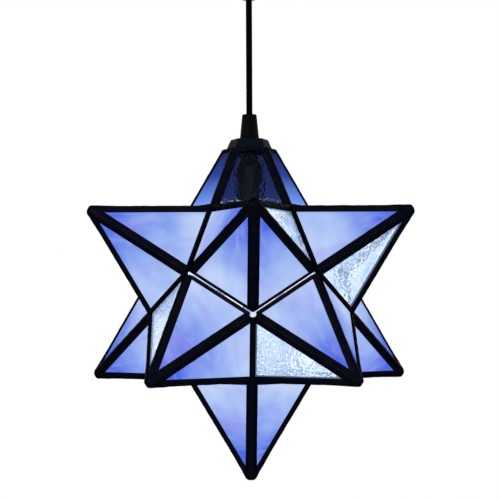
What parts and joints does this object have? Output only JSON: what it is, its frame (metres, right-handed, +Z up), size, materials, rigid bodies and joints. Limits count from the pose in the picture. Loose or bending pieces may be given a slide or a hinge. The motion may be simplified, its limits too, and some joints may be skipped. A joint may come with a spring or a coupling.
{
  "type": "moravian star pendant lamp",
  "caption": "Pendant lamp: a hollow many-pointed star of blue opal and clear hammered glass in dark came, hung on a round cord from a ceiling canopy, with a hinged point as its door.",
  "frame": {"origin": "on the ceiling, in the middle of the mounting bracket's top face", "axes": "+Z up out of the ceiling, the star hangs towards -Z; -Y is the front, where the door point is"},
  "size_m": [0.3068, 0.3224, 0.5137],
  "materials": {
    "came": "black patina, satin",
    "opal_glass": "wispy blue opal sheet",
    "clear_glass": "clear, hammered",
    "black_metal": "black satin",
    "black_plastic": "fine matt",
    "cord": "smooth sheath",
    "steel": "zinc plated",
    "brass": "bright",
    "white_plastic": "moulded",
    "holder_plastic": "moulded",
    "bulb_metal": "bright",
    "bulb_glass": "milky"
  },
  "bodies": {
    "ceiling_fitting": {"mounting_bracket": "steel", "canopy": "black_metal", "canopy_screws": "steel", "canopy_gland": "black_plastic", "canopy_gland_screw": "steel", "canopy_threaded_tube": "steel", "canopy_locknut": "steel", "terminal_block": "white_plastic", "terminal_clamp_screws": "steel", "terminal_block_screw": "steel", "canopy_cord_end": "cord"},
    "cord_head": {"cord_upper": "cord"},
    "cord": {"cord_lower": "cord"},
    "star": {"right_upper_point_came": "came", "right_upper_point_opal_panes": "opal_glass", "back_right_upper_point_came": "came", "back_right_upper_point_opal_panes": "opal_glass", "back_left_upper_point_came": "came", "back_left_upper_point_opal_panes": "opal_glass", "left_upper_point_came": "came", "left_upper_point_opal_panes": "opal_glass", "front_right_lower_point_came": "came", "front_right_lower_point_opal_panes": "opal_glass", "right_lower_point_came": "came", "right_lower_point_opal_panes": "opal_glass", "back_lower_point_came": "came", "back_lower_point_opal_panes": "opal_glass", "left_lower_point_came": "came", "left_lower_point_opal_panes": "opal_glass", "front_left_lower_point_came": "came", "front_left_lower_point_opal_panes": "opal_glass", "bottom_point_came": "came", "bottom_point_opal_panes": "opal_glass", "top_point_came": "came", "top_point_opal_panes": "opal_glass", "fixed_clear_panes": "clear_glass", "hinge_tube_star": "came", "hinge_wire": "came", "door_stop_tabs": "came", "star_cap": "black_metal", "star_gland": "black_plastic", "star_gland_screw": "steel", "star_threaded_tube": "steel", "cap_washer": "steel", "cap_locknut": "steel", "holder_cap": "holder_plastic", "holder_body": "holder_plastic", "holder_insert": "white_plastic", "holder_terminal_screws": "brass", "holder_cord_end": "cord", "holder_screw_shell": "brass", "holder_centre_contact": "brass"},
    "door": {"door_point_came": "came", "door_point_opal_panes": "opal_glass", "door_point_clear_pane": "clear_glass", "hinge_tubes_door": "came"},
    "bulb_foot": {"bulb_contact": "bulb_metal"},
    "bulb": {"bulb_screw_cap": "bulb_metal", "bulb_collar": "white_plastic", "bulb_globe": "bulb_glass"}
  },
  "joints": [
    {"name": "swing_to_side", "type": "hinge", "parent": "ceiling_fitting", "child": "cord_head", "pos_m": [0, 0, -0.052], "axis": [0, 1, 0], "range_deg": [-30, 30], "deforming": ["cord_upper"]},
    {"name": "swing_to_front", "type": "hinge", "parent": "cord_head", "child": "cord", "pos_m": [0, 0, -0.09], "axis": [1, 0, 0], "range_deg": [-30, 30], "deforming": ["cord_lower"]},
    {"name": "turn_on_cord", "type": "hinge", "parent": "cord", "child": "star", "pos_m": [0, 0, -0.163], "axis": [0, 0, 1], "range_deg": [-90, 90], "stiffness_Nm_per_rad": 0.01},
    {"name": "door_hinge", "type": "hinge", "parent": "star", "child": "door", "pos_m": [0, -0.05206, -0.25111], "axis": [-1, 0, 0], "range_deg": [0, 100]},
    {"name": "bulb_travel", "type": "slide", "parent": "star", "child": "bulb_foot", "axis": [0, 0, -1], "range_m": [0, 0.009]},
    {"name": "bulb_unscrew", "type": "hinge", "parent": "bulb_foot", "child": "bulb", "pos_m": [0, 0, -0.24535], "axis": [0, 0, -1], "range_deg": [0, 1148]}
  ],
  "couplings": [
    {"joint": "bulb_travel", "follows": "bulb_unscrew", "m_per_rad": 0.00044909}
  ]
}
